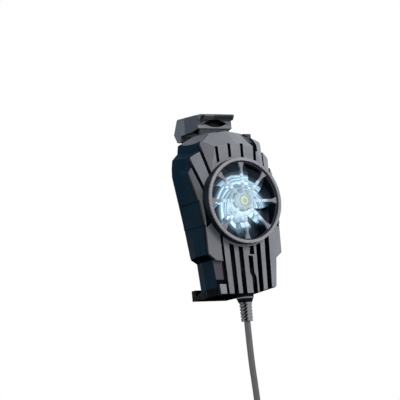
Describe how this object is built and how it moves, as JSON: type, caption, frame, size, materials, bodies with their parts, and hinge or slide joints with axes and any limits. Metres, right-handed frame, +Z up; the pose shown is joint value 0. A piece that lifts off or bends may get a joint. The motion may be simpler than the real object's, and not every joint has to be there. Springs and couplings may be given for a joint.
{
  "type": "phone cooling fan",
  "caption": "Clip-on phone cooler: a faceted housing with a lit round fan behind a spoked guard, a sprung jaw that grips a phone, and a cable with a plug.",
  "frame": {"origin": "centre of the pad's face that rests on the phone's back", "axes": "+Y out of the pad towards the phone, +Z up the housing from the cable end to the sliding jaw, +X to the right seen from the fan's side"},
  "size_m": [0.0603, 0.0374, 0.2532],
  "materials": {
    "shell_dark": "satin",
    "plate_grey": "satin",
    "trim_light": "gloss",
    "guard_dark": "gloss",
    "blade_frosted": "frosted",
    "lamp_glow": "lit",
    "board_green": "solder mask",
    "steel": "polished",
    "magnet_iron": "ground",
    "bearing_bronze": "sintered",
    "stator_steel": "laminated",
    "pad_grey": "matt",
    "cold_aluminium": "milled",
    "module_ceramic": "matt",
    "foam_black": "foam",
    "rear_dark": "satin",
    "arm_black": "satin",
    "cap_grey": "satin",
    "grip_rubber": "matt",
    "boot_grey": "matt",
    "cord_grey": "satin",
    "tie_black": "woven",
    "plug_dark": "satin",
    "tongue_white": "gloss"
  },
  "bodies": {
    "housing": {"arm_guides": "shell_dark", "cable_collar": "boot_grey", "case_screws": "steel", "clamp_spring_left": "steel", "clamp_spring_right": "steel", "coil_tie": "tie_black", "cold_plate": "cold_aluminium", "control_board": "board_green", "cord_coil": "cord_grey", "cord_hanging": "cord_grey", "cord_tail": "cord_grey", "crown_plate": "plate_grey", "fan_frame": "shell_dark", "fan_guard": "guard_dark", "fan_ring": "shell_dark", "fan_stator": "stator_steel", "heat_sink": "cold_aluminium", "left_brow_plate": "plate_grey", "left_foot_plate": "plate_grey", "left_side_plate": "plate_grey", "light_board": "board_green", "light_lamps": "lamp_glow", "lower_grille": "plate_grey", "lower_grip": "grip_rubber", "lower_jaw": "arm_black", "main_shell": "shell_dark", "module_gasket": "foam_black", "peltier_module": "module_ceramic", "phone_pad": "pad_grey", "rear_cover": "rear_dark", "right_brow_plate": "plate_grey", "right_side_plate": "plate_grey", "ring_trim": "trim_light", "shaft_bearing": "bearing_bronze", "spring_posts": "shell_dark", "strain_relief": "boot_grey", "usb_grip": "plug_dark", "usb_shell": "steel", "usb_tongue": "tongue_white"},
    "rotor": {"fan_impeller": "blade_frosted", "rotor_magnet": "magnet_iron", "rotor_shaft": "steel"},
    "clamp": {"clamp_arm": "arm_black", "clamp_cap": "cap_grey", "upper_grip": "grip_rubber"}
  },
  "joints": [
    {"name": "fan_spin", "type": "hinge", "parent": "housing", "child": "rotor", "pos_m": [0, 0, 0], "axis": [0, -1, 0], "continuous": true},
    {"name": "clamp_slide", "type": "slide", "parent": "housing", "child": "clamp", "axis": [0, 0, 1], "range_m": [-0.005, 0.01], "stiffness_N_per_m": 320, "deforming": ["clamp_spring_left", "clamp_spring_right"]}
  ]
}
